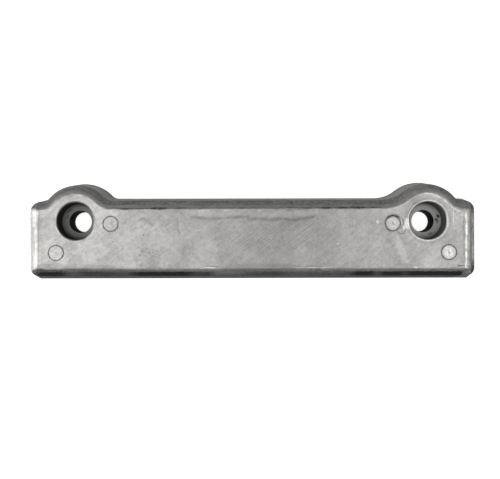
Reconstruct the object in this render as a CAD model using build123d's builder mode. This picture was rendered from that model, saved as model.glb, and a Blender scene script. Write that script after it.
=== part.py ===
"""Bolt-on bar anode: one aluminium casting with an ear and a counterbored bolt hole at each end.

Frame, in millimetres: the mounting face lies in z = 0 and the front face looks along +Z.
The origin is midway between the two bolt axes, +X runs along the bar, and the ears stand out to +Y.
"""
from build123d import *
from math import radians, sqrt, tan
import os

# Bolt holes, straight at the back and widening up to the counterbores that sink the bolt heads
bolt_spacing = 180.0
bolt_hole_diameter = 10.5
bolt_hole_straight = 4.0
bolt_hole_draft = 4.6
bolt_hole_lip = 0.3
counterbore_floor_diameter = 18.4
counterbore_depth = 13.0
counterbore_draft = 1.8
counterbore_floor_bevel = 1.0
counterbore_lip = 0.3

# Bar, its edges measured at the foot of the walls from the line through the bolt axes
thickness = 25.0
upper_edge = 12.7
lower_edge = 30.4
left_shoulder_edge = 12.1
right_shoulder_edge = 12.45

# Level stretch of each shoulder at the front, between the hollow beside the ear and the corner
left_shoulder_flat = 0.45
right_shoulder_flat = 0.9

# Casting form: how far the walls lean, how the front rim is rounded and the back edge broken
wall_draft = 5.5
rim_radius = 5.0
corner_land = 0.5
mounting_edge_break = 0.4

# Corners of the outline at the foot of the walls
lower_left_corner = 2.5
lower_right_corner = 0.8
upper_right_corner = 4.0
upper_left_corner = 6.1

# Ears: the flat land round each counterbore, and the hollows beside the ears at the foot of the walls
left_ear_land = 4.1
right_ear_land = 4.5
shoulder_hollow = 3.0
left_inner_hollow = 5.0
right_inner_hollow = 17.5

# Ejector-pin marks on the front face: a ring groove round a flat disc with a centre point
pin_mark_diameter = 7.2
pin_mark_groove = 0.45
pin_mark_depth = 0.3
pin_mark_point = 0.9
inner_mark_offset = 18.0
inner_mark_drop = 1.4
left_outer_mark_offset = 9.9
right_outer_mark_offset = 10.6
outer_mark_drop = 16.2


def hollow_reach(ear_radius, edge, hollow):
    """Work out how far from the bolt axis the hollow beside an ear runs out into the bar's edge."""
    return sqrt((ear_radius + hollow) ** 2 - (edge + hollow) ** 2)


def ear_reach(ear_radius, edge):
    """Work out how far from the bolt axis the ear's round outline crosses the bar's edge."""
    return sqrt(ear_radius**2 - edge**2)


# Sizes that follow
bolt_x = bolt_spacing / 2
bolt_hole_radius = bolt_hole_diameter / 2
counterbore_floor = thickness - counterbore_depth
bolt_hole_taper = counterbore_floor - bolt_hole_straight
bolt_hole_top_radius = bolt_hole_radius + bolt_hole_taper * tan(radians(bolt_hole_draft))
counterbore_floor_radius = counterbore_floor_diameter / 2
counterbore_mouth_radius = counterbore_floor_radius + counterbore_depth * tan(radians(counterbore_draft))
wall_lean = (thickness - mounting_edge_break) * tan(radians(wall_draft))
rim_run = rim_radius / tan(radians(90 + wall_draft) / 2)
front_corner = corner_land + rim_run
left_ear_radius = counterbore_mouth_radius + left_ear_land + rim_run + wall_lean
right_ear_radius = counterbore_mouth_radius + right_ear_land + rim_run + wall_lean
left_hollow_reach = hollow_reach(left_ear_radius, left_shoulder_edge, shoulder_hollow)
right_hollow_reach = hollow_reach(right_ear_radius, right_shoulder_edge, shoulder_hollow)
left_end = -(bolt_x + left_hollow_reach + left_shoulder_flat + front_corner + wall_lean)
right_end = bolt_x + right_hollow_reach + right_shoulder_flat + front_corner + wall_lean
pin_mark_radius = pin_mark_diameter / 2

mounting_plane = Plane.XY
wall_foot_plane = Plane.XY.offset(mounting_edge_break)
front_plane = Plane.XY.offset(thickness)
foot_corners = [lower_left_corner, lower_right_corner, upper_right_corner, upper_left_corner]
mounting_corners = [corner - mounting_edge_break for corner in foot_corners]
front_corners = [front_corner] * 4
bolt_places = [(-bolt_x, 0), (bolt_x, 0)]
pin_mark_places = [
    (-bolt_x + inner_mark_offset, -inner_mark_drop),
    (bolt_x - inner_mark_offset, -inner_mark_drop),
    (-bolt_x - left_outer_mark_offset, -outer_mark_drop),
    (bolt_x + right_outer_mark_offset, -outer_mark_drop),
]


def outline(plane, lean, corner_radii):
    """Draw the bar with its two ears on a plane, drawn in by the lean of the walls up to there.

    The corner radii go round from the lower left corner to the upper left one.
    """
    left = left_end + lean
    right = right_end - lean
    lower = lean - lower_edge
    upper = upper_edge - lean
    left_shoulder = left_shoulder_edge - lean
    right_shoulder = right_shoulder_edge - lean
    left_ear = left_ear_radius - lean
    right_ear = right_ear_radius - lean
    corners = [(left, lower), (right, lower), (right, right_shoulder), (left, left_shoulder)]
    hollows = [
        ((-bolt_x - ear_reach(left_ear, left_shoulder), left_shoulder), shoulder_hollow + lean),
        ((-bolt_x + ear_reach(left_ear, upper), upper), left_inner_hollow + lean),
        ((bolt_x - ear_reach(right_ear, upper), upper), right_inner_hollow + lean),
        ((bolt_x + ear_reach(right_ear, right_shoulder), right_shoulder), shoulder_hollow + lean),
    ]
    with BuildSketch(plane) as sketch:
        with BuildLine():
            Polyline(
                (left, lower),
                (right, lower),
                (right, right_shoulder),
                (bolt_x, right_shoulder),
                (bolt_x, upper),
                (-bolt_x, upper),
                (-bolt_x, left_shoulder),
                (left, left_shoulder),
                close=True,
            )
        make_face()
        with Locations((-bolt_x, 0)):
            Circle(left_ear)
        with Locations((bolt_x, 0)):
            Circle(right_ear)
        for place, radius in list(zip(corners, corner_radii)) + hollows:
            fillet(sketch.vertices().sort_by_distance(place)[0], radius)
    return sketch.sketch


# Core of one bolt hole: straight, then widening up to a counterbore whose wall leans outwards from
# a bevel round its floor
with BuildPart() as bolt_hole_core:
    with BuildSketch(Plane.XZ) as core_section:
        with BuildLine():
            Polyline(
                (0, 0),
                (bolt_hole_radius, 0),
                (bolt_hole_radius, bolt_hole_straight),
                (bolt_hole_top_radius, counterbore_floor),
                (counterbore_floor_radius, counterbore_floor),
                (counterbore_mouth_radius, thickness),
                (0, thickness),
                close=True,
            )
        make_face()
        floor_corner_place = (counterbore_floor_radius, counterbore_floor)
        floor_corner = core_section.vertices().sort_by_distance(floor_corner_place)[0]
        chamfer(floor_corner, counterbore_floor_bevel)
    revolve(axis=Axis.Z)

with BuildPart() as anode_casting:
    # The broken edge of the mounting face, then leaning walls up to the smaller outline of the front
    mounting_outline = outline(mounting_plane, mounting_edge_break, mounting_corners)
    foot_outline = outline(wall_foot_plane, 0, foot_corners)
    front_outline = outline(front_plane, wall_lean, front_corners)
    loft([mounting_outline, foot_outline, front_outline], ruled=True)

    # Rounded front rim that runs on round both ears
    front_face = anode_casting.faces().sort_by(Axis.Z)[-1]
    fillet(front_face.outer_wire().edges(), rim_radius)

    # Counterbored bolt holes, with their edges broken at the counterbore mouths and at the back
    with Locations(*bolt_places):
        add(bolt_hole_core.part, mode=Mode.SUBTRACT)
    mouths = anode_casting.edges().filter_by(lambda edge: edge.is_closed).group_by(Axis.Z)[-1]
    chamfer(mouths, counterbore_lip)
    hole_ends = anode_casting.edges().filter_by(lambda edge: edge.is_closed).group_by(Axis.Z)[0]
    chamfer(hole_ends, bolt_hole_lip)

    # Ejector-pin marks
    with BuildSketch(front_plane):
        with Locations(*pin_mark_places):
            Circle(pin_mark_radius + pin_mark_groove)
            Circle(pin_mark_radius, mode=Mode.SUBTRACT)
            Circle(pin_mark_point / 2)
    extrude(amount=-pin_mark_depth, mode=Mode.SUBTRACT)

anode_casting.part.label = "anode_casting"

os.makedirs("parts", exist_ok=True)
export_step(anode_casting.part, "parts/anode_casting.step")
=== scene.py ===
"""Dresses the bar anode: its skin is cut fine, shaped and worn over the CAD solid, then lit and framed.

The scene is in metres, in the CAD part's own frame. Sizes on the casting are written in millimetres.
"""
import bmesh
import bpy
import math
import numpy as np
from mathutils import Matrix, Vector, noise


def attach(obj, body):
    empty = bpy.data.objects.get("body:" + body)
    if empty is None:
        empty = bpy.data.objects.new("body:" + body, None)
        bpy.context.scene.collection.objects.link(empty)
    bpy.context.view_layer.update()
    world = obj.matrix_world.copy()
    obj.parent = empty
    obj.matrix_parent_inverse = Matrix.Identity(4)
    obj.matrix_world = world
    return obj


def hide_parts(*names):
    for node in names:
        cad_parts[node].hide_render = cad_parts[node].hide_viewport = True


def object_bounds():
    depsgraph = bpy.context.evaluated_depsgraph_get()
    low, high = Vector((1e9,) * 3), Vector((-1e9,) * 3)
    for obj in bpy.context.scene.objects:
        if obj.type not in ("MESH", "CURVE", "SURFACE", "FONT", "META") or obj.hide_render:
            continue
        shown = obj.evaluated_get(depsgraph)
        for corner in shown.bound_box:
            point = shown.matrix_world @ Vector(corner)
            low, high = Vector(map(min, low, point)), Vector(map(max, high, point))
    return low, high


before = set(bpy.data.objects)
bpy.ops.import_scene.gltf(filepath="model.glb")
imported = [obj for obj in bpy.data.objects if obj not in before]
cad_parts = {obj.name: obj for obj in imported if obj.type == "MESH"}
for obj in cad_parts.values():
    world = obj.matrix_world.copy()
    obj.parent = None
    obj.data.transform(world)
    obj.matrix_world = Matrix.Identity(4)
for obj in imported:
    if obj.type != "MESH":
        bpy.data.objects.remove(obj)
cad_box = [list(corner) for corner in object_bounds()]


def mm(size):
    """Millimetres as metres."""
    return size * 0.001


def per(size):
    """The scale of a pattern whose features are that many millimetres across."""
    return 1.0 / size


def linear(code):
    """An sRGB hex colour as linear RGBA."""
    parts = [int(code[place:place + 2], 16) / 255 for place in (1, 3, 5)]
    return [part / 12.92 if part <= 0.04045 else ((part + 0.055) / 1.055) ** 2.4 for part in parts] + [1.0]


def add(tree, kind, inputs=None, **settings):
    """Add a node with its settings, and give each named input a value or a link."""
    made = tree.nodes.new(kind)
    for name, value in settings.items():
        setattr(made, name, value)
    for name, value in (inputs or {}).items():
        if isinstance(value, bpy.types.NodeSocket):
            tree.links.new(value, made.inputs[name])
        else:
            made.inputs[name].default_value = value
    return made


# Places and sizes on the casting, in millimetres. The last two radii reach just past a mark's disc and its
# groove
bolt_x = 90.0
front = 25.0
rim_radius = 5.0
mouth_radius = 9.9
pin_marks = [(-72.0, -1.4), (-99.9, -16.2), (72.0, -1.4), (100.6, -16.2)]
disc_radius = 3.63
mark_radius = 4.2
low, high = np.array(cad_box) * 1000

# The walls start where the rim has turned this far, and that many rim radii below the front
wall_start = math.radians(84.5)
wall_start_drop = 0.904

# Out to these distances from a bolt axis and from a mark's centre, the net is not smoothed
clear_of_bore = 11.0
clear_of_mark = 5.0

# The sharp hollows beside the ears, by their places along the bar: below the rim they are not smoothed
outer_hollow_x = 104.5
left_inner_hollow_x = -73.0
hollow_half_width = 6.0

# The bead round the sunk front face: its crest, the run of its slope and how deep the face is sunk
bead_crest = 0.12
bead_slope = 0.42
face_sink = 0.22

# The net that the skin is cut into: its mesh in plan, the first and last level of the cuts across the
# walls with the step between them, and the bend up to which faces are merged
net_step = 0.8
wall_cuts = (0.4, 20.4, 1.25)
merge_angle = math.radians(0.2)

# The casting's skin: a merged copy of the CAD solid, cut into a fine net
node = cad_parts["anode_casting"]
bpy.ops.object.select_all(action="DESELECT")
skin = bpy.data.objects.new("cast_skin", node.data.copy())
bpy.context.scene.collection.objects.link(skin)
skin.data.materials.clear()
skin.select_set(True)
bpy.context.view_layer.objects.active = skin
bpy.ops.mesh.customdata_custom_splitnormals_clear()
bpy.ops.object.mode_set(mode="EDIT")
bpy.ops.mesh.select_mode(type="FACE")
bpy.ops.mesh.select_all(action="SELECT")
bpy.ops.mesh.remove_doubles(threshold=1e-6)
bpy.ops.mesh.dissolve_limited(angle_limit=merge_angle)


def bolt_distance(x, y):
    """How far a point lies from the nearer bolt axis, in millimetres."""
    return min(math.hypot(x - bolt_x, y), math.hypot(x + bolt_x, y))


def mark_distance(x, y):
    """How far a point lies from the nearest pin mark's centre, in millimetres."""
    return min(math.hypot(x - mark_x, y - mark_y) for mark_x, mark_y in pin_marks)


def on_front(centre, normal):
    """Whether a face with that centre, in millimetres, and normal lies in the flat of the front."""
    return normal.z > 0.999 and centre.z > front - 0.05


def on_back(centre, normal):
    """Whether a face with that normal lies in the mounting face."""
    return normal.z < -0.9


def on_smoothed(centre, normal):
    """Whether a face is on the rims or walls, away from the bores, the marks and the sharp hollows."""
    by_outer_hollow = abs(abs(centre.x) - outer_hollow_x) <= hollow_half_width
    by_inner_hollow = abs(centre.x - left_inner_hollow_x) <= hollow_half_width
    in_hollow = centre.z <= 20 and centre.y >= 9 and (by_outer_hollow or by_inner_hollow)
    clear = bolt_distance(centre.x, centre.y) > clear_of_bore
    clear = clear and mark_distance(centre.x, centre.y) > clear_of_mark
    return normal.z < 0.99 and centre.z > 1.5 and clear and not in_hollow


def on_fine(centre, normal):
    """Whether a face of the front lies round the right counterbore or in a pin mark."""
    by_mouth = math.hypot(centre.x - bolt_x, centre.y) < 14.5
    by_mark = mark_distance(centre.x, centre.y) < 4.6
    return normal.z > 0.99 and centre.z > 24 and (by_mouth or by_mark)


def choose(test):
    """Select just the faces whose centre, in millimetres, and normal pass a test."""
    bpy.ops.mesh.select_all(action="DESELECT")
    net = bmesh.from_edit_mesh(skin.data)
    for face in net.faces:
        if test(face.calc_center_median() * 1000, face.normal):
            face.select_set(True)
    bmesh.update_edit_mesh(skin.data)


def slice_up(direction, start, end, step):
    """Cut the whole skin by evenly spaced planes across a direction."""
    count = round((end - start) / step)
    for place in range(1, count):
        at = start + (end - start) * place / count
        bpy.ops.mesh.select_all(action="SELECT")
        bpy.ops.mesh.bisect(plane_co=Vector(direction) * mm(at), plane_no=direction)


# The outline of the flat front: each short edge of it with the way out of the face
rim_starts, rim_ends, rim_ways = [], [], []
for edge in bmesh.from_edit_mesh(skin.data).edges:
    sides = []
    for face in edge.link_faces:
        if not on_front(face.calc_center_median() * 1000, face.normal):
            sides.append(face)
    if len(edge.link_faces) == 2 and len(sides) == 1:
        start, end = (Vector(point.co[:2]) * 1000 for point in edge.verts)
        middle = (start + end) / 2
        if bolt_distance(*middle) > mouth_radius + 1 and mark_distance(*middle) > clear_of_mark:
            way = Vector((end - start).yx) * Vector((1, -1))
            out = Vector(sides[0].calc_center_median()[:2]) * 1000 - middle
            rim_starts.append(start)
            rim_ends.append(end)
            rim_ways.append(way.normalized() * (1 if way.dot(out) > 0 else -1))
rim_starts, rim_ends, rim_ways = np.array(rim_starts), np.array(rim_ends), np.array(rim_ways)

choose(on_front)
bpy.ops.mesh.inset(thickness=mm(bead_crest), depth=0)
bpy.ops.mesh.inset(thickness=mm(bead_slope), depth=0)
slice_up((1, 0, 0), low[0], high[0], net_step)
slice_up((0, 1, 0), low[1], high[1], net_step)
slice_up((0, 0, 1), *wall_cuts)
choose(on_back)
bpy.ops.mesh.dissolve_limited(angle_limit=merge_angle)
choose(on_smoothed)
bpy.ops.mesh.vertices_smooth(factor=0.5, repeat=6)

# The fine forms round the right counterbore and in the pin marks take a finer net
choose(on_fine)
bpy.ops.mesh.subdivide(number_cuts=1)
bpy.ops.object.mode_set(mode="OBJECT")


def outline_of(spots):
    """For each spot, its distance from the front's outline in plan and the way out of the nearest edge."""
    along = rim_ends - rim_starts
    square = np.maximum((along ** 2).sum(1), 1e-9)
    distance, ways = np.empty(len(spots)), np.empty((len(spots), 2))
    for first in range(0, len(spots), 2000):
        part = spots[first:first + 2000, None, :] - rim_starts[None]
        share = np.clip((part * along).sum(2) / square, 0, 1)
        apart = ((part - share[..., None] * along) ** 2).sum(2)
        distance[first:first + 2000] = np.sqrt(apart.min(1))
        ways[first:first + 2000] = rim_ways[apart.argmin(1)]
    return distance, ways.T


def smooth(start, end, value):
    """Rise smoothly from 0 at start to 1 at end."""
    share = np.clip((value - start) / (end - start), 0, 1)
    return share * share * (3 - 2 * share)


def waves(spots, size, seed):
    """Soft noise of about that many millimetres at each spot, from -1 to 1."""
    shift = Vector((seed * 17.3, seed * 5.1, seed * 9.7))
    return np.array([noise.noise(Vector(spot) / size + shift) for spot in spots])


def along_bar(x, places):
    """A strength that changes along the bar, through chosen places (x, strength)."""
    return np.interp(x, [place[0] for place in places], [place[1] for place in places])


# Where each point of the skin lies, in millimetres, and how far from the bolts, the marks and the outline
points = np.empty(len(skin.data.vertices) * 3)
skin.data.vertices.foreach_get("co", points)
points = points.reshape(-1, 3) * 1000
x, y, z = points.T
bolt_gap = np.minimum(np.hypot(x - bolt_x, y), np.hypot(x + bolt_x, y))
mark_gap = np.min([np.hypot(x - mark_x, y - mark_y) for mark_x, mark_y in pin_marks], axis=0)
in_bore = (bolt_gap < mouth_radius + 0.02) & (z < front + 0.01)
in_mark = (mark_gap < mark_radius) & (z > front - 0.6)
gap, (way_x, way_y) = outline_of(points[:, :2])
slow = waves(points, 21.0, 1)
mid = waves(points, 6.0, 2)

# How far each point lies past the front's outline, over the rim and down the wall. It is less than 0
# on the front
turn = np.arccos(np.clip((z - front + rim_radius) / rim_radius, 0, 1))
down_wall = rim_radius * wall_start + (front - z) - rim_radius * wall_start_drop
over = np.where(turn < wall_start, rim_radius * turn, down_wall)
reach = np.where(z > front - 0.01, -gap, over)

# The bead is strong at the right end, broken along the top and almost gone along the bottom
shaken_y = y + 0.6 * mid
to_left = smooth(-104, -106.5, x) * smooth(7.2, 5.2, shaken_y) * smooth(-27, -25, shaken_y)
to_right = smooth(104, 107, x) * smooth(8, 5, y) * smooth(-27.5, -24.5, y)
to_bottom = smooth(-21, -23, y) * (1 - to_left) * (1 - to_right)
on_ear = smooth(24, 18, np.abs(np.abs(x) - bolt_x)) * smooth(3, 6, y)
bead = 0.6 + 0.3 * slow + 0.3 * mid
bead = bead * (1 - to_bottom) + to_bottom * along_bar(
    x, [(-26, 0.1), (-23, 0.35), (-18, 0.35), (-16, 0.1), (19, 0.1), (22, 0.25), (38, 0.25), (41, 0.1)]
)
bead = bead * (1 - on_ear) + on_ear * (0.25 + 0.5 * smooth(84, 98, x))
bead = bead * (1 - to_right) + to_right * (0.9 + 0.3 * mid)
bead = np.clip(bead * (1 - 0.5 * to_left), 0, 1)

# The face is sunk inside the bead, and rolls a little as cast. A groove and a ridge ring the right
# counterbore, and the two right discs stand up to the height of the bead
face = (z > front - 0.01) & ~in_bore
inside = smooth(bead_crest * 0.9, bead_crest + bead_slope, gap)
sunk = face_sink * (1 - bead * (1 - inside))
right_bolt_gap = np.hypot(x - bolt_x, y)
ring_groove = 0.03 * np.exp(-((right_bolt_gap - 11.3) / 0.55) ** 2)
ring_ridge = 0.03 * np.exp(-((right_bolt_gap - 13.2) / 0.5) ** 2)
ringed = ring_groove - ring_ridge
lifted = np.where((mark_gap < disc_radius) & (x > 0), face_sink, 0)
rolled = (0.05 * (slow + 1) + 0.03 * (mid + 1)) * smooth(0, 5, gap) + ringed * inside
drop = np.where(face, np.maximum(sunk + rolled - lifted, 0), 0)
drop = np.where(in_mark & ~face, face_sink, drop)
on_rim = (z <= front - 0.01) & (z > front - 2.5) & ~in_bore & ~in_mark
drop = np.where(on_rim, face_sink * (1 - bead) * smooth(front - 2.5, front, z), drop)
lip = in_bore & (z > front - 0.5)
drop = np.where(lip, face_sink * smooth(front - 0.5, front - 0.2, z), drop)
points[:, 2] -= drop

# The walls and rims wander a little, as cast
outer = (bolt_gap > clear_of_bore) & (z > 0.5) & (z < front - 0.01) & ~in_mark
core = np.stack([np.clip(x, -95, 95), np.full(len(x), -9.0), np.full(len(x), 12.0)], 1)
inward = core - points
inward /= np.linalg.norm(inward, axis=1)[:, None]
push = np.where(outer, 0.07 * (slow + 1) + 0.04 * (mid + 1), 0)
push = push * smooth(0, 2, z) * smooth(front, front - 1.5, z)
points += inward * push[:, None]
points = np.clip(points, low, high)
skin.data.vertices.foreach_set("co", (points / 1000).ravel())
skin.data.update()

# Where the dark mould coat with its painted shade starts and is full on the rim, in degrees of its turn, for
# each side; at the lit left end it starts far down
turn_now = np.degrees(np.where(z > front - 0.01, -gap / rim_radius, over / rim_radius))
coat_and_shade_start = 6 + 11 * to_bottom + 16 * to_right + 150 * to_left
coat_and_shade_full = 28 + 16 * to_bottom + 36 * to_right + 200 * to_left
coat_and_shade = (turn_now - coat_and_shade_start) / (coat_and_shade_full - coat_and_shade_start)
coat_and_shade = np.where(in_bore | in_mark | (z < 0.1), -3, coat_and_shade)

# How strong the soot and the painted shade are: in patches along the lower rim, full down the lower wall,
# weaker at the right end
soot_and_shade_strength = along_bar(x, [
    (-112, 0.6), (-108, 1.0), (-98, 1.0), (-92, 0.5), (-84, 0.8), (-72, 0.7), (-64, 0.6), (-58, 1.0),
    (-34, 1.0), (-28, 0.75), (-22, 0.8), (-18, 0.35), (-10, 0.3), (0, 0.6), (12, 0.75), (22, 0.5),
    (34, 0.5), (50, 0.6), (54, 1.0), (61, 1.0), (64, 0.6), (68, 1.0), (75, 1.0), (78, 0.8), (82, 1.0),
    (109, 1.0), (113, 0.7),
])
soot_and_shade_strength = np.maximum(soot_and_shade_strength, 0.95 * smooth(6.6, 8.2, over)) * smooth(0.35, 0.8, -way_y)
soot_and_shade_strength = np.maximum(soot_and_shade_strength, 0.55 * smooth(5.5, 8.0, over) * smooth(0.6, 0.9, way_x))
soot_and_shade = np.where(in_bore | in_mark, -2, (turn_now - 23) / 13)

# The material reads these values at each point
point_values = {"reach": reach, "coat_and_shade": coat_and_shade, "soot_and_shade": soot_and_shade, "soot_and_shade_strength": soot_and_shade_strength}
for name, values in point_values.items():
    layer = skin.data.attributes.new(name, "FLOAT", "POINT")
    layer.data.foreach_set("value", np.clip(values, -60, 60).astype(np.float32))

bpy.ops.object.select_all(action="DESELECT")
skin.select_set(True)
bpy.ops.object.shade_smooth_by_angle(angle=math.radians(38))

# Cast aluminium: pale dull metal that clouds softly, under a dark mould coat and painted shade on the rims
# and walls.
# The place is in millimetres, and the flat place is that seen from the front, a little shaken
aluminium = bpy.data.materials.new("cast aluminium")
aluminium.use_nodes = True
tree = aluminium.node_tree
tree.nodes.clear()
place = add(tree, "ShaderNodeVectorMath", {
    0: add(tree, "ShaderNodeTexCoord").outputs["Object"], 1: (1000, 1000, 1000),
}, operation="MULTIPLY").outputs["Vector"]
axes = add(tree, "ShaderNodeSeparateXYZ", {"Vector": place})
reach = add(tree, "ShaderNodeAttribute", attribute_name="reach").outputs["Fac"]
shake = add(tree, "ShaderNodeTexNoise", {"Vector": place, "Scale": per(1.2), "Detail": 3.0})
shaken = add(tree, "ShaderNodeVectorMath", {
    0: shake.outputs["Color"], 1: (0.7, 0.7, 0), 2: place,
}, operation="MULTIPLY_ADD").outputs["Vector"]
flat_place = add(tree, "ShaderNodeVectorMath", {
    0: shaken, 1: (1, 1, 0),
}, operation="MULTIPLY").outputs["Vector"]
flat_place = add(tree, "ShaderNodeVectorMath", {
    0: flat_place, 1: (-0.35, -0.35, 1),
}, operation="ADD").outputs["Vector"]


def strokes(marks):
    """Mask of straight strokes seen from the front, each (x, y, x, y, width, strength) in millimetres."""
    total = 0.0
    for start_x, start_y, end_x, end_y, width, strength in marks:
        angle = math.atan2(end_y - start_y, end_x - start_x)
        half_length = math.hypot(end_x - start_x, end_y - start_y) / 2 + width / 2
        middle = Vector(((start_x + end_x) / 2, (start_y + end_y) / 2))
        along = Vector((math.cos(angle), math.sin(angle)))
        across = Vector((-math.sin(angle), math.cos(angle)))
        shares = []
        for way, half in ((along, half_length), (across, width / 2)):
            shares.append(add(tree, "ShaderNodeVectorMath", {
                0: flat_place, 1: (way.x / half, way.y / half, -way.dot(middle) / half),
            }, operation="DOT_PRODUCT").outputs["Value"])
        far = add(tree, "ShaderNodeMath", {0: shares[0], 1: shares[0]}, operation="MULTIPLY")
        far = add(tree, "ShaderNodeMath", {
            0: shares[1], 1: shares[1], 2: far.outputs[0],
        }, operation="MULTIPLY_ADD")
        mask = add(tree, "ShaderNodeMapRange", {
            "Value": far.outputs[0], "From Min": 1.4, "From Max": 0.2, "To Max": strength,
        }, interpolation_type="SMOOTHSTEP")
        total = add(tree, "ShaderNodeMath", {
            0: total, 1: mask.outputs["Result"],
        }, operation="MAXIMUM").outputs[0]
    return total


def chain(width, strength, *stops):
    """A bent stroke through stops (x, y), as straight strokes end to end."""
    return [(*start, *end, width, strength) for start, end in zip(stops, stops[1:])]


def ring(centre_x, centre_y, radius, width, strength):
    """Mask of a thin ring on the front round a centre, in millimetres."""
    far = add(tree, "ShaderNodeVectorMath", {
        0: flat_place, 1: (centre_x, centre_y, 1),
    }, operation="DISTANCE")
    off = add(tree, "ShaderNodeMath", {0: far.outputs["Value"], 1: radius}, operation="SUBTRACT")
    off = add(tree, "ShaderNodeMath", {0: off.outputs[0]}, operation="ABSOLUTE")
    return add(tree, "ShaderNodeMapRange", {
        "Value": off.outputs[0], "From Min": width / 2, "From Max": 0.0, "To Max": strength,
    }, interpolation_type="SMOOTHSTEP").outputs["Result"]


# Metal tone: soft clouds with finer mottling and faint wiping marks that rise to the right
rise = math.radians(37)
lengthways = add(tree, "ShaderNodeVectorMath", {
    0: place, 1: (0.1 * math.cos(rise), 0.1 * math.sin(rise), 0),
}, operation="DOT_PRODUCT")
crossways = add(tree, "ShaderNodeVectorMath", {
    0: place, 1: (-math.sin(rise), math.cos(rise), 0),
}, operation="DOT_PRODUCT")
slanted = add(tree, "ShaderNodeCombineXYZ", {
    "X": lengthways.outputs["Value"], "Y": crossways.outputs["Value"], "Z": axes.outputs["Z"],
}).outputs["Vector"]
wipe = add(tree, "ShaderNodeTexNoise", {
    "Vector": slanted, "Scale": per(1.6), "Detail": 4.0, "Roughness": 0.7,
})
cloud = add(tree, "ShaderNodeTexNoise", {
    "Vector": place, "Scale": per(14), "Detail": 6.0, "Roughness": 0.62,
})
mottle = add(tree, "ShaderNodeTexNoise", {
    "Vector": place, "Scale": per(1.5), "Detail": 5.0, "Roughness": 0.8,
})
cloud_tone = add(tree, "ShaderNodeMath", {
    0: mottle.outputs["Fac"], 1: 1.9, 2: cloud.outputs["Fac"],
}, operation="MULTIPLY_ADD")
cloud_tone = add(tree, "ShaderNodeMath", {
    0: wipe.outputs["Fac"], 1: 0.8, 2: cloud_tone.outputs[0],
}, operation="MULTIPLY_ADD")
cloud_tone = add(tree, "ShaderNodeMapRange", {
    "Value": cloud_tone.outputs[0], "From Min": 1.4, "From Max": 2.3,
})
tone = add(tree, "ShaderNodeMix", {
    "Factor": cloud_tone.outputs["Result"], "A": linear("#a3a2a0"), "B": linear("#dbdad8"),
}, data_type="RGBA").outputs["Result"]

# Wiping scratches that rise to the right over the middle of the front, 1.5 mm from line to line: a wave
# texture repeats about every 0.314 units at scale 1
scratch_wave = add(tree, "ShaderNodeTexWave", {
    "Vector": slanted, "Scale": 0.314 * per(1.5), "Distortion": 2.5, "Detail": 3.0, "Detail Scale": 1.5,
}, bands_direction="Y")
scratch_grain = add(tree, "ShaderNodeTexNoise", {
    "Vector": slanted, "Scale": per(0.9), "Detail": 4.0, "Roughness": 0.6,
})
scratch_zone = strokes([(-12, -13, 36, -2, 19, 1.0)])
scratch = add(tree, "ShaderNodeMath", {
    0: scratch_wave.outputs["Fac"], 1: scratch_grain.outputs["Fac"],
}, operation="MULTIPLY")
scratch = add(tree, "ShaderNodeMath", {
    0: scratch.outputs[0], 1: scratch_zone,
}, operation="MULTIPLY")

# Dark places on the front: the wavy flow line that crosses the middle of the bar
flow_line = chain(
    1.9, 0.42, (-30.4, 2.0), (-21.2, 0.9), (-14.6, 1.4), (-2.1, 2.2), (-1.1, 0.7), (4.2, 1.2), (8.8, 0.3),
    (16.5, 1.1), (19.5, 0.3), (24.6, 0.8), (32.3, 2.1),
)

# Shallow scars on the left half, and small pits
scars = (
    chain(1.6, 0.3, (-57.4, 0.3), (-55.5, 1.5), (-52.5, -0.8), (-50.3, -2.3))
    + chain(1.5, 0.2, (-57.4, -13.5), (-54.9, -15.0), (-51.3, -17.6), (-47.2, -18.6))
    + chain(1.3, 0.2, (-49.5, -17.1), (-47.0, -16.0), (-45.7, -13.5))
    + chain(1.1, 0.25, (-39.1, 5.3), (-36.5, 4.6), (-34.5, 2.5))
    + chain(1.2, 0.25, (-38.0, 1.8), (-37.6, -3.8), (-36.9, -6.5))
)
pits = [
    (-56.4, -15.4, -55.6, -15.8, 1.1, 0.45), (-54.0, -14.2, -53.4, -14.3, 1.0, 0.4),
    (-52.6, -16.2, -51.9, -16.0, 1.2, 0.45), (-51.0, -14.6, -50.2, -14.9, 0.9, 0.35),
    (-48.8, -15.6, -48.2, -15.0, 1.0, 0.45), (-47.6, -17.9, -46.9, -17.2, 1.0, 0.4),
    (-46.2, -14.8, -45.9, -14.0, 0.9, 0.35), (-54.6, -17.6, -53.2, -18.2, 0.8, 0.3),
    (-55.2, -7.2, -55.2, -7.2, 1.3, 0.5), (-70.8, -10.6, -70.8, -10.6, 1.0, 0.4),
    (-57.0, -17.3, -57.0, -17.3, 1.4, 0.5), (-50.3, -16.1, -50.3, -16.1, 1.0, 0.5),
    (-47.8, -20.6, -47.8, -21.7, 0.8, 0.4), (-60.5, -19.7, -57.4, -19.8, 0.5, 0.35),
    (-48.3, -23.7, -45.7, -24.2, 0.8, 0.5), (49.6, -2.0, 49.6, -3.4, 0.9, 0.4),
    (53.0, -2.5, 53.4, -3.6, 0.8, 0.4), (-9, -21.2, -6.2, -22.6, 0.6, 0.4),
    (-4.4, -21.2, -1.2, -22.6, 0.5, 0.35), (69.0, -9.0, 70.5, -11.0, 1.4, 0.35),
]

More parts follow.
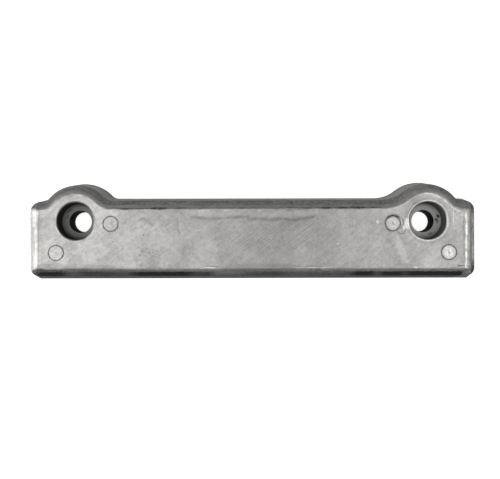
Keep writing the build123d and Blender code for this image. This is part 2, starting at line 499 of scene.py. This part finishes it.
# Painted shade in the crease along the top edge, and three short lines beside it
crease_shade_and_lines = [
    (-76, 6.3, -70, 6.1, 0.9, 0.6), (-70, 6.1, -60, 6.2, 1.2, 0.8), (-60, 6.2, -52, 6.3, 1.0, 0.6),
    (-52, 6.3, -43, 6.4, 1.5, 1.0), (-40, 6.4, -33, 6.5, 1.0, 0.5), (-7, 6.4, -4, 6.4, 0.8, 0.5),
    (26, 6.3, 31, 6.4, 1.0, 0.6), (35, 6.4, 41, 6.5, 1.2, 0.85), (43, 6.5, 49, 6.5, 1.3, 0.8),
    (50, 6.6, 58, 6.7, 1.4, 0.9), (60, 6.8, 66, 6.9, 1.0, 0.6), (16.0, 7.3, 22.3, 6.9, 0.7, 0.4),
    (17.0, 5.6, 21.5, 4.7, 0.6, 0.4), (19.6, 9.3, 20.9, 9.3, 1.4, 0.55),
]

# Dark arcs and dots round the right inner mark and beside the counterbore, and scratches in the discs
dark_arcs_and_dots = (
    chain(1.8, 0.95, (69.4, 1.5), (70.7, 2.4), (72.6, 2.8), (74.8, 1.8))
    + chain(0.6, 0.8, (69.8, -4.4), (71.0, -5.4), (73.6, -5.1), (76.1, -6.8), (77.4, -6.6), (78.8, -4.3))
    + chain(0.35, 0.6, (75.9, 0.4), (76.5, -2.0), (75.8, -4.4))
    + [(77.1, 0.4, 77.3, 0.1, 0.9, 0.8), (77.5, -0.9, 77.4, -1.3, 0.9, 0.8),
       (77.2, -2.3, 77.3, -2.7, 0.9, 0.8), (76.4, -3.6, 76.6, -3.9, 0.8, 0.7)]
    + [(-71.6, -0.9, -71.3, -1.6, 0.6, 0.6), (-99.9, -16.0, -99.7, -16.4, 0.6, 0.5),
       (71.8, -1.0, 72.6, -2.2, 0.8, 0.6), (100.2, -15.0, 100.9, -17.6, 0.7, 0.55)]
)

# Darker strokes along the bottom edge, in the lower left corner, on the lands of the ears and on the right
# rim, and a pit below the left counterbore
edge_darkening = chain(3.4, 0.3, (78.6, 3.6), (81.0, 8.2), (86.2, 11.6)) + [
    (-107.5, -22.6, -97.0, -23.6, 3.2, 0.5), (-97.0, -23.8, -80.0, -24.4, 2.6, 0.5),
    (-103.0, -20.6, -96.0, -22.6, 1.6, 0.35), (-110.0, -24.6, -105.5, -25.0, 2.4, 0.7),
    (-108.0, -23.6, -64.0, -24.2, 4.5, 0.35), (-14.0, -23.8, 24.0, -23.6, 4.5, 0.3),
    (-109.0, -25.4, -93.0, -26.0, 2.4, 0.7), (-91.0, -25.6, -76.0, -26.0, 1.6, 0.45),
    (-72.0, -25.2, -58.0, -25.4, 1.2, 0.4), (-104.3, -22.0, -88.0, -25.0, 1.6, 0.5),
    (64.0, -23.8, 75.0, -24.0, 0.5, 0.25), (112.6, -3.9, 113.0, -3.3, 1.2, 0.6),
    (-86.6, 13.2, -84.2, 12.2, 1.0, 0.45), (-85.0, -9.0, -86.0, -9.8, 1.0, 0.8),
    (-98.2, 11.1, -97.6, 12.3, 0.6, 0.5), (-93.5, 12.6, -91.5, 13.0, 0.8, 0.4),
]
# All the dark marks on the front together, with the painted shade in the top crease
dark_marks_and_shade = strokes(flow_line + scars + pits + crease_shade_and_lines + dark_arcs_and_dots + edge_darkening)

# Painted shade in the grooves of the pin marks, and a little painted shade in the groove round the right
# counterbore
groove_shade = 0.0
for mark_x, mark_y in pin_marks:
    mark_groove_shade = ring(mark_x, mark_y, 3.85, 1.1, 0.85)
    groove_shade = add(tree, "ShaderNodeMath", {0: groove_shade, 1: mark_groove_shade}, operation="MAXIMUM").outputs[0]
mouth_groove_shade = ring(bolt_x, 0, 11.4, 1.8, 0.25)
dark_marks_and_shade = add(tree, "ShaderNodeMath", {
    0: dark_marks_and_shade, 1: mouth_groove_shade,
}, operation="MAXIMUM").outputs[0]
patchy = add(tree, "ShaderNodeMapRange", {
    "Value": mottle.outputs["Fac"], "From Min": 0.4, "From Max": 0.56, "To Min": 0.2,
})
dark_marks_and_shade = add(tree, "ShaderNodeMath", {
    0: dark_marks_and_shade, 1: patchy.outputs["Result"],
}, operation="MULTIPLY").outputs[0]

# Bare metal and painted glints: the struck discs, grains that stand proud with painted glints, and broad
# pale smears
rubbed_discs = [
    (72.0, -1.4, 72.0, -1.4, 6.6, 0.6), (100.6, -16.2, 100.6, -16.2, 6.6, 0.7),
    (-99.9, -16.2, -99.9, -16.2, 6.4, 0.08), (-72.6, -2.1, -72.3, -2.1, 0.8, 0.9),
]
proud_grain_glints = [
    (76.3, 0.6, 76.7, -2.6, 0.6, 0.7), (64.2, -0.2, 64.2, -0.9, 1.0, 0.6),
    (49.0, -2.6, 49.3, -3.0, 0.7, 0.7), (44.1, -11.9, 44.1, -11.9, 0.9, 0.9),
    (10.1, -8.8, 10.1, -8.8, 0.9, 0.8), (12.4, -7.0, 12.4, -7.0, 0.7, 0.6),
    (52.5, -1.7, 52.5, -1.7, 0.8, 0.6), (-88.5, -22.4, -88.5, -22.4, 0.9, 0.7),
]
pale_smears = [
    (73.5, -8.0, 78.0, -19.0, 4.5, 0.28), (-24.0, -14.0, -22.0, -15.0, 12.0, 0.2),
    (-30, 4.0, 0, 3.8, 2.6, 0.16), (2, 3.0, 32, 4.0, 2.6, 0.16),
]

# Glints along the bottom edge, under the top edge, on the lands of the ears and at the right end
edge_glints = chain(
    0.9, 0.75, (88.5, 14.0), (93.0, 13.2), (97.5, 11.3), (100.5, 8.7), (103.1, 6.1), (106.7, 4.6),
) + [
    (-23.8, -23.7, -18.2, -24.0, 0.7, 0.9), (-22.0, -23.4, -20.5, -23.6, 0.5, 0.9),
    (20.5, -23.8, 26.0, -23.8, 0.6, 0.8), (27.5, -23.8, 34.0, -23.9, 0.6, 0.9),
    (35.0, -24.0, 38.9, -23.9, 0.6, 0.7), (83.0, -24.0, 84.5, -24.0, 0.8, 0.7),
    (-27.9, 5.2, -21.2, 5.2, 0.7, 0.7), (-15.6, 5.2, -9.5, 5.2, 0.6, 0.7), (-4.9, 5.2, -2.4, 5.2, 0.6, 0.7),
    (2.7, 5.1, 5.8, 5.1, 0.5, 0.6), (16.0, 6.6, 19.0, 6.3, 0.5, 0.6),
    (-98.5, 12.6, -97.5, 13.3, 0.7, 0.7), (-92.5, 14.2, -90.5, 14.3, 0.6, 0.6),
    (-79.6, 10.2, -79.0, 9.6, 0.8, 0.5), (-88.0, 13.4, -83.0, 12.6, 0.7, 0.4),
    (-96.5, 12.8, -95.0, 13.6, 0.7, 0.6), (109.4, 4.0, 109.5, -1.0, 1.4, 0.8),
    (109.4, -1.0, 109.5, -7.0, 1.7, 1.0), (109.3, -8.5, 109.3, -14.0, 1.3, 0.9),
    (109.4, -16.0, 109.3, -19.5, 1.2, 0.9), (109.4, -20.5, 109.3, -24.5, 1.2, 0.8),
    (102.9, 6.6, 102.9, -3.6, 0.45, 0.55), (107.3, 4.0, 107.3, -1.1, 0.45, 0.55),
]
bare_metal_and_glints = strokes(rubbed_discs + proud_grain_glints + pale_smears + edge_glints)
# A painted highlight on the ridge round the right counterbore's mouth
mouth_ridge_highlight = ring(bolt_x, 0, 10.25, 0.9, 0.55)
bare_metal_and_glints = add(tree, "ShaderNodeMath", {
    0: bare_metal_and_glints, 1: mouth_ridge_highlight,
}, operation="MAXIMUM").outputs[0]
speckle = add(tree, "ShaderNodeMapRange", {
    "Value": shake.outputs["Fac"], "From Min": 0.34, "From Max": 0.6, "To Min": 0.55,
})
bare_metal_and_glints = add(tree, "ShaderNodeMath", {
    0: bare_metal_and_glints, 1: speckle.outputs["Result"],
}, operation="MULTIPLY").outputs[0]
tone = add(tree, "ShaderNodeMix", {
    "Factor": bare_metal_and_glints, "A": tone, "B": linear("#f4f4f2"),
}, data_type="RGBA").outputs["Result"]
scratch_share = add(tree, "ShaderNodeMath", {0: scratch.outputs[0], 1: 0.42}, operation="MULTIPLY")
tone = add(tree, "ShaderNodeMix", {
    "Factor": scratch_share.outputs[0], "A": tone, "B": linear("#7d7d7b"),
}, data_type="RGBA").outputs["Result"]

# Fine drawn lines down the filed left end
down = add(tree, "ShaderNodeVectorMath", {
    0: place, 1: (1, 0.05, 0.05),
}, operation="MULTIPLY").outputs["Vector"]
file_lines = add(tree, "ShaderNodeTexNoise", {
    "Vector": down, "Scale": per(1.0), "Detail": 3.0, "Roughness": 0.6,
})
filed = add(tree, "ShaderNodeMapRange", {
    "Value": axes.outputs["X"], "From Min": -107.5, "From Max": -109.5,
})
file_share = add(tree, "ShaderNodeMapRange", {
    "Value": file_lines.outputs["Fac"], "From Min": 0.5, "From Max": 0.68, "To Max": 0.5,
})
file_share = add(tree, "ShaderNodeMath", {
    0: file_share.outputs["Result"], 1: filed.outputs["Result"],
}, operation="MULTIPLY")
tone = add(tree, "ShaderNodeMix", {
    "Factor": file_share.outputs[0], "A": tone, "B": linear("#8f8f8d"),
}, data_type="RGBA").outputs["Result"]

# Mould coat and painted shade on the rims and walls: its streaks run along the edges, and its border on the
# rim is ragged
runs = add(tree, "ShaderNodeVectorMath", {0: place, 1: (0.09, 0.09, 0.03)}, operation="MULTIPLY")
runs = add(tree, "ShaderNodeVectorMath", {
    0: runs.outputs["Vector"], 1: add(tree, "ShaderNodeCombineXYZ", {"Z": reach}).outputs["Vector"],
}, operation="ADD").outputs["Vector"]
streak = add(tree, "ShaderNodeTexNoise", {
    "Vector": runs, "Scale": per(2.2), "Detail": 6.0, "Roughness": 0.7,
})
ragged = add(tree, "ShaderNodeTexNoise", {
    "Vector": place, "Scale": per(3.0), "Detail": 6.0, "Roughness": 0.65,
})
coat_and_shade = add(tree, "ShaderNodeAttribute", attribute_name="coat_and_shade").outputs["Fac"]
coat_and_shade = add(tree, "ShaderNodeMath", {0: ragged.outputs["Fac"], 1: 2.6, 2: coat_and_shade}, operation="MULTIPLY_ADD")
coat_and_shade = add(tree, "ShaderNodeMath", {
    0: mottle.outputs["Fac"], 1: 1.8, 2: coat_and_shade.outputs[0],
}, operation="MULTIPLY_ADD")
coat_and_shade = add(tree, "ShaderNodeMapRange", {
    "Value": coat_and_shade.outputs[0], "From Min": 2.1, "From Max": 3.3,
}, interpolation_type="SMOOTHSTEP").outputs["Result"]

# Between the ears the coat is rubbed off in a light band on the top rim, partly a painted highlight, with a
# crease of painted shade inside it
upper = add(tree, "ShaderNodeMapRange", {
    "Value": axes.outputs["Y"], "From Min": 1.0, "From Max": 4.0,
})
from_middle = add(tree, "ShaderNodeMath", {0: axes.outputs["X"]}, operation="ABSOLUTE")
between = add(tree, "ShaderNodeMapRange", {
    "Value": from_middle.outputs[0], "From Min": 74.0, "From Max": 62.0,
})
top_edge = add(tree, "ShaderNodeMath", {
    0: upper.outputs["Result"], 1: between.outputs["Result"],
}, operation="MULTIPLY")
ragged_reach = add(tree, "ShaderNodeMath", {
    0: ragged.outputs["Fac"], 1: -1.2, 2: reach,
}, operation="MULTIPLY_ADD")
edge_bands = []
for middle, half_width, strength in ((1.3, 1.1, 0.55), (0.15, 0.45, 0.6)):
    off = add(tree, "ShaderNodeMath", {0: ragged_reach.outputs[0], 1: middle}, operation="SUBTRACT")
    off = add(tree, "ShaderNodeMath", {0: off.outputs[0]}, operation="ABSOLUTE")
    band = add(tree, "ShaderNodeMapRange", {
        "Value": off.outputs[0], "From Min": half_width, "From Max": 0.0, "To Max": strength,
    }, interpolation_type="SMOOTHSTEP")
    band = add(tree, "ShaderNodeMath", {
        0: band.outputs["Result"], 1: top_edge.outputs[0],
    }, operation="MULTIPLY")
    edge_bands.append(band.outputs[0])
rubbed_lit_band, crease_shade = edge_bands
left_on = add(tree, "ShaderNodeMath", {0: bare_metal_and_glints, 1: -0.8, 2: 1.0}, operation="MULTIPLY_ADD")
left_on = add(tree, "ShaderNodeMath", {
    0: rubbed_lit_band, 1: -1.0, 2: left_on.outputs[0],
}, operation="MULTIPLY_ADD", use_clamp=True)
coat_and_shade = add(tree, "ShaderNodeMath", {0: coat_and_shade, 1: left_on.outputs[0]}, operation="MULTIPLY").outputs[0]
streak_tone = add(tree, "ShaderNodeMath", {
    0: mottle.outputs["Fac"], 1: 1.4, 2: streak.outputs["Fac"],
}, operation="MULTIPLY_ADD")
streak_tone = add(tree, "ShaderNodeMapRange", {
    "Value": streak_tone.outputs[0], "From Min": 0.92, "From Max": 1.48,
})
coat_and_shade_tone = add(tree, "ShaderNodeMix", {
    "Factor": streak_tone.outputs["Result"], "A": linear("#686766"), "B": linear("#adadab"),
}, data_type="RGBA")
tone = add(tree, "ShaderNodeMix", {
    "Factor": coat_and_shade, "A": tone, "B": coat_and_shade_tone.outputs["Result"],
}, data_type="RGBA").outputs["Result"]

# Soot and painted shade: black burnt coat and shade in patches along the lower rim and down the wall,
# speckled at its border
soot_and_shade = add(tree, "ShaderNodeAttribute", attribute_name="soot_and_shade").outputs["Fac"]
soot_and_shade = add(tree, "ShaderNodeMath", {0: streak.outputs["Fac"], 1: 1.8, 2: soot_and_shade}, operation="MULTIPLY_ADD")
soot_and_shade = add(tree, "ShaderNodeMath", {
    0: mottle.outputs["Fac"], 1: 1.6, 2: soot_and_shade.outputs[0],
}, operation="MULTIPLY_ADD")
soot_and_shade = add(tree, "ShaderNodeMapRange", {
    "Value": soot_and_shade.outputs[0], "From Min": 1.7, "From Max": 2.6,
}, interpolation_type="SMOOTHSTEP")
thin = add(tree, "ShaderNodeMapRange", {
    "Value": reach, "From Min": 6.9, "From Max": 8.5, "To Min": 1.0, "To Max": 0.95,
})
soot_and_shade = add(tree, "ShaderNodeMath", {
    0: soot_and_shade.outputs["Result"], 1: thin.outputs["Result"],
}, operation="MULTIPLY")
soot_and_shade_strength = add(tree, "ShaderNodeAttribute", attribute_name="soot_and_shade_strength").outputs["Fac"]
soot_and_shade = add(tree, "ShaderNodeMath", {
    0: soot_and_shade.outputs[0], 1: soot_and_shade_strength,
}, operation="MULTIPLY").outputs[0]
tone = add(tree, "ShaderNodeMix", {
    "Factor": soot_and_shade, "A": tone, "B": linear("#3a3938"),
}, data_type="RGBA").outputs["Result"]

# Painted shade in the counterbores and bolt holes: pale floors, darker walls, black holes, the left bore
# darker
bolt_gaps = [
    add(tree, "ShaderNodeVectorMath", {
        0: flat_place, 1: (side * bolt_x, 0, 1),
    }, operation="DISTANCE").outputs["Value"]
    for side in (-1, 1)
]
bolt_gap = add(tree, "ShaderNodeMath", {0: bolt_gaps[0], 1: bolt_gaps[1]}, operation="MINIMUM")
bored = add(tree, "ShaderNodeMapRange", {
    "Value": bolt_gap.outputs[0], "From Min": 10.2, "From Max": 9.6,
})
below = add(tree, "ShaderNodeMapRange", {
    "Value": axes.outputs["Z"], "From Min": 24.6, "From Max": 23.5,
})
bored = add(tree, "ShaderNodeMath", {
    0: bored.outputs["Result"], 1: below.outputs["Result"],
}, operation="MULTIPLY").outputs[0]
on_left = add(tree, "ShaderNodeMapRange", {
    "Value": axes.outputs["X"], "From Min": 1.0, "From Max": -1.0,
})
floor_tone = add(tree, "ShaderNodeMix", {
    "Factor": on_left.outputs["Result"], "A": linear("#e2e1df"), "B": linear("#b0b0ae"),
}, data_type="RGBA")
wall_tone = add(tree, "ShaderNodeMix", {
    "Factor": on_left.outputs["Result"], "A": linear("#6a6a69"), "B": linear("#3e3e3d"),
}, data_type="RGBA")
up_wall = add(tree, "ShaderNodeMapRange", {
    "Value": axes.outputs["Z"], "From Min": 12.2, "From Max": 14.5,
})
down_hole = add(tree, "ShaderNodeMapRange", {
    "Value": axes.outputs["Z"], "From Min": 11.98, "From Max": 11.6,
})
bore_painted_shade = add(tree, "ShaderNodeMix", {
    "Factor": up_wall.outputs["Result"], "A": floor_tone.outputs["Result"], "B": wall_tone.outputs["Result"],
}, data_type="RGBA")
bore_painted_shade = add(tree, "ShaderNodeMix", {
    "Factor": down_hole.outputs["Result"], "A": bore_painted_shade.outputs["Result"], "B": linear("#111111"),
}, data_type="RGBA")
bore_marks = strokes([
    (97.7, 2.9, 98.2, 2.3, 1.5, 0.9), (96.9, 0.9, 97.6, 0.3, 1.7, 0.7),
    (97.4, -1.0, 97.9, -0.4, 1.0, 0.6), (93.0, -7.0, 95.0, -6.2, 1.2, 0.4),
    (-97.0, 5.0, -94.5, 6.4, 0.8, 0.5), (-97.6, 1.6, -96.4, 3.6, 0.8, 0.5),
])
bore_painted_shade = add(tree, "ShaderNodeMix", {
    "Factor": bore_marks, "A": bore_painted_shade.outputs["Result"], "B": linear("#2b2b2a"),
}, data_type="RGBA")
tone = add(tree, "ShaderNodeMix", {
    "Factor": bored, "A": tone, "B": bore_painted_shade.outputs["Result"],
}, data_type="RGBA").outputs["Result"]

# Then the dark marks with the painted shade in the grooves and the top crease, and painted highlights on
# chips struck up beside the right counterbore
for dark in (dark_marks_and_shade, groove_shade, crease_shade):
    tone = add(tree, "ShaderNodeMix", {
        "Factor": dark, "A": tone, "B": linear("#3c3b3a"),
    }, data_type="RGBA").outputs["Result"]
# Painted highlights on the chips
chip_highlights = strokes([
    (79.3, 0.2, 79.4, -3.3, 2.7, 1.0), (77.6, -3.0, 77.8, -4.6, 1.2, 0.8),
    (64.2, -0.2, 64.3, -1.4, 1.0, 0.5),
])
tone = add(tree, "ShaderNodeMix", {
    "Factor": chip_highlights, "A": tone, "B": linear("#fdfdfb"),
}, data_type="RGBA").outputs["Result"]

# Painted light makes the walls of the upper side paler, and painted shade darkens all walls at the foot
upper_wall_painted_light = add(tree, "ShaderNodeMapRange", {
    "Value": axes.outputs["Z"], "From Min": 20.5, "From Max": 17.5, "To Max": 0.45,
})
upper_wall_painted_light = add(tree, "ShaderNodeMath", {
    0: upper_wall_painted_light.outputs["Result"], 1: upper.outputs["Result"],
}, operation="MULTIPLY")
unbored = add(tree, "ShaderNodeMath", {0: bored, 1: -1.0, 2: 1.0}, operation="MULTIPLY_ADD")
upper_wall_painted_light = add(tree, "ShaderNodeMath", {
    0: upper_wall_painted_light.outputs[0], 1: unbored.outputs[0],
}, operation="MULTIPLY")
tone = add(tree, "ShaderNodeMix", {
    "Factor": upper_wall_painted_light.outputs[0], "A": tone, "B": linear("#d4d4d2"),
}, data_type="RGBA").outputs["Result"]
foot_shade = add(tree, "ShaderNodeMapRange", {
    "Value": axes.outputs["Z"], "From Min": 6.0, "From Max": 0.3, "To Max": 0.75,
})
off_back = add(tree, "ShaderNodeMapRange", {
    "Value": axes.outputs["Z"], "From Min": 0.02, "From Max": 0.15,
})
foot_shade = add(tree, "ShaderNodeMath", {
    0: foot_shade.outputs["Result"], 1: off_back.outputs["Result"],
}, operation="MULTIPLY").outputs[0]
tone = add(tree, "ShaderNodeMix", {
    "Factor": foot_shade, "A": tone, "B": linear("#3c3b3a"),
}, data_type="RGBA").outputs["Result"]

# The coat and the soot with their painted shade, and the painted shade in the bores and at the foot, are
# dull and hardly metallic, and the bare metal and the painted glints are smoother
covered = add(tree, "ShaderNodeMath", {0: coat_and_shade, 1: soot_and_shade}, operation="MAXIMUM")
dull = add(tree, "ShaderNodeMapRange", {
    "Value": axes.outputs["Z"], "From Min": 12.2, "From Max": 14.5, "To Min": 0.5, "To Max": 0.9,
})
dull = add(tree, "ShaderNodeMath", {
    0: dull.outputs["Result"], 1: down_hole.outputs["Result"],
}, operation="MAXIMUM")
covered = add(tree, "ShaderNodeMath", {
    0: bored, 1: dull.outputs[0], 2: covered.outputs[0],
}, operation="MULTIPLY_ADD", use_clamp=True)
covered = add(tree, "ShaderNodeMath", {
    0: foot_shade, 1: 1.0, 2: covered.outputs[0],
}, operation="MULTIPLY_ADD", use_clamp=True).outputs[0]
metallic = add(tree, "ShaderNodeMath", {0: covered, 1: -0.98, 2: 1.0}, operation="MULTIPLY_ADD")
rough = add(tree, "ShaderNodeMapRange", {
    "Value": cloud.outputs["Fac"], "From Min": 0.3, "From Max": 0.7, "To Min": 0.36, "To Max": 0.28,
}).outputs["Result"]
for mask, change in ((covered, 0.22), (bored, 0.12), (bare_metal_and_glints, -0.12)):
    rough = add(tree, "ShaderNodeMath", {0: mask, 1: change, 2: rough}, operation="MULTIPLY_ADD").outputs[0]

# Relief: casting grain with the scratches cut into it
grain = add(tree, "ShaderNodeTexNoise", {
    "Vector": place, "Scale": per(0.9), "Detail": 6.0, "Roughness": 0.65,
})
height = add(tree, "ShaderNodeMath", {
    0: scratch.outputs[0], 1: -0.35, 2: grain.outputs["Fac"],
}, operation="MULTIPLY_ADD")
relief = add(tree, "ShaderNodeBump", {"Height": height.outputs[0], "Strength": 0.5, "Distance": mm(0.12)})
metal = add(tree, "ShaderNodeBsdfPrincipled", {
    "Base Color": tone, "Metallic": metallic.outputs[0], "Roughness": rough,
    "Specular IOR Level": 0.01, "Normal": relief.outputs["Normal"],
})
add(tree, "ShaderNodeOutputMaterial", {"Surface": metal.outputs["BSDF"]})
skin.data.materials.append(aluminium)
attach(skin, "root")
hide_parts("anode_casting")

# Floor, a little below the mounting face
bpy.ops.object.select_all(action="DESELECT")
bpy.ops.mesh.primitive_plane_add(size=3.0, location=(0, 0, mm(-0.3)))
floor = bpy.context.active_object
floor.name = "floor"

# White paper: it glows where it is seen, so that it looks white, and is matt where it lights the part
paper = bpy.data.materials.new("white paper sweep")
paper.use_nodes = True
tree = paper.node_tree
tree.nodes.clear()
path = add(tree, "ShaderNodeLightPath")
seen = add(tree, "ShaderNodeMath", {
    0: path.outputs["Is Camera Ray"], 1: path.outputs["Is Glossy Ray"],
}, operation="MAXIMUM")
seen = add(tree, "ShaderNodeMath", {
    0: seen.outputs[0], 1: path.outputs["Is Transmission Ray"],
}, operation="MAXIMUM")
lift = add(tree, "ShaderNodeMath", {0: seen.outputs[0], 1: 0.92}, operation="MULTIPLY")
matt = add(tree, "ShaderNodeBsdfDiffuse", {"Color": linear("#d8d8d6")})
glow = add(tree, "ShaderNodeEmission", {"Color": (1, 1, 1, 1), "Strength": lift.outputs[0]})
both = add(tree, "ShaderNodeAddShader", {0: matt.outputs[0], 1: glow.outputs[0]})
add(tree, "ShaderNodeOutputMaterial", {"Surface": both.outputs[0]})
floor.data.materials.append(paper)


def lamp(name, at, aim, width, height, brightness):
    """Add a soft rectangular lamp that faces a point; its brightness is what a mirror would show of it."""
    data = bpy.data.lights.new(name, "AREA")
    data.shape = "RECTANGLE"
    data.size = width
    data.size_y = height
    data.energy = brightness * math.pi * width * height
    made = bpy.data.objects.new(name, data)
    bpy.context.scene.collection.objects.link(made)
    made.location = at
    made.rotation_euler = (Vector(at) - Vector(aim)).to_track_quat("Z", "Y").to_euler()


# Three wide lamps overhead, the middle one weak so that the bar is darker there, and lamps beside the ends
lamp("overhead_left", (-0.325, -0.12, 1.0), (-0.325, -0.12, 0), 0.47, 0.62, 1.1)
lamp("overhead_middle", (0.045, -0.12, 1.0), (0.045, -0.12, 0), 0.33, 0.62, 0.26)
lamp("overhead_right", (0.4, -0.12, 1.0), (0.4, -0.12, 0), 0.38, 0.62, 1.17)
lamp("left_fill", (-0.65, -0.02, 0.78), (0, -0.02, 0), 0.22, 0.4, 1.8)
lamp("left_box", (-0.7, -0.02, 0.4), (0, -0.02, 0.1), 0.5, 0.7, 1.7)
lamp("right_fill", (0.74, -0.1, 0.72), (0, -0.02, 0), 0.34, 0.5, 0.75)

# Faint even light from all round
world = bpy.data.worlds.new("studio")
bpy.context.scene.world = world
world.use_nodes = True
world.node_tree.nodes.clear()
sky = add(world.node_tree, "ShaderNodeBackground", {"Color": (1, 1, 1, 1), "Strength": 0.2})
add(world.node_tree, "ShaderNodeOutputWorld", {"Surface": sky.outputs[0]})

# The camera looks straight down on the front
camera_data = bpy.data.cameras.new("camera")
camera_data.lens = 56.33
camera_data.sensor_width = 36
camera_data.clip_start = 0.01
camera = bpy.data.objects.new("camera", camera_data)
bpy.context.scene.collection.objects.link(camera)
camera.location = (mm(-0.86), mm(-9.53), mm(423.7))
camera.rotation_euler = (0, 0, math.radians(-0.12))
bpy.context.scene.camera = camera
bpy.context.scene.view_settings.view_transform = "Standard"
